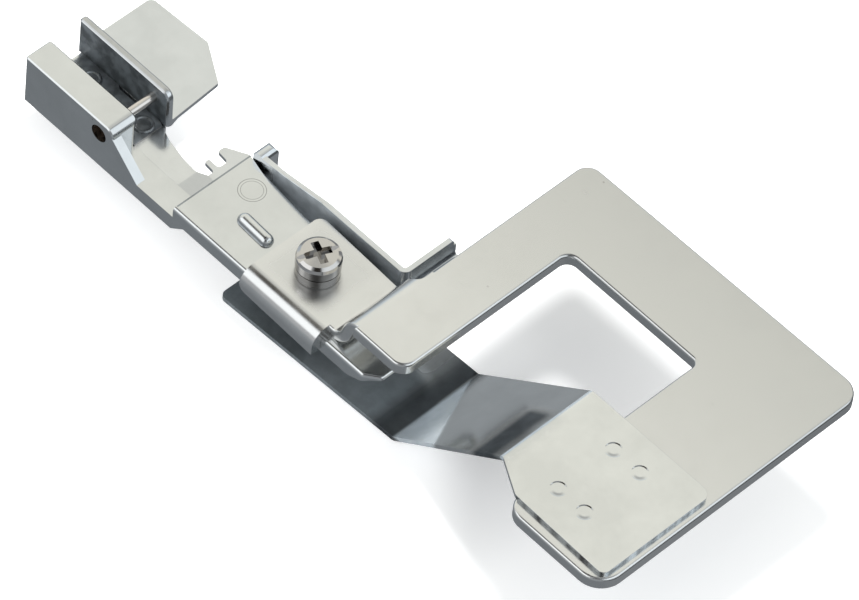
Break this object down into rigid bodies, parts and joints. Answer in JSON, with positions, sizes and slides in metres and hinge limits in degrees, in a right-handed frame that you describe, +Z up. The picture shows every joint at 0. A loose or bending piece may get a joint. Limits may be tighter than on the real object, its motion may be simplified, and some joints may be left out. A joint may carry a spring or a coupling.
{
  "type": "sewing machine presser foot",
  "caption": "Clip-on presser foot with a fork and cross pin, a clamped plate guide with an open window and a thin separating blade below.",
  "frame": {"origin": "on the axis of the fork's cross pin, at the middle of the foot's width", "axes": "+X across the foot to the flag and plate side, +Y from toe to rear, +Z up from the sole"},
  "size_m": [0.0387, 0.0916, 0.0115],
  "materials": {
    "plated_foot": "bright plated, lightly brushed",
    "plated_sheet": "bright plated sheet with fine scuffs",
    "screw_plating": "mirror bright",
    "pin_steel": "polished pin"
  },
  "bodies": {
    "foot": {"foot_frame": "plated_foot", "side_bracket": "plated_foot", "cross_pin": "pin_steel", "needle_sheet": "plated_sheet", "fork_rivets": "plated_foot", "finger_plate": "plated_sheet", "finger_rivet": "plated_foot", "edge_guide": "plated_sheet"},
    "guide": {"guide_plate": "plated_sheet", "separator_blade": "plated_sheet"},
    "screw": {"clamp_screw": "screw_plating", "spring_washer": "screw_plating", "flat_washer": "screw_plating"}
  },
  "joints": [
    {"name": "guide_slide", "type": "slide", "parent": "foot", "child": "guide", "axis": [0, 1, 0], "range_m": [-0.0006, 0.0006]},
    {"name": "screw_turn", "type": "hinge", "parent": "foot", "child": "screw", "pos_m": [-0.00036, -0.02859, 0], "axis": [0, 0, 1], "continuous": true}
  ]
}
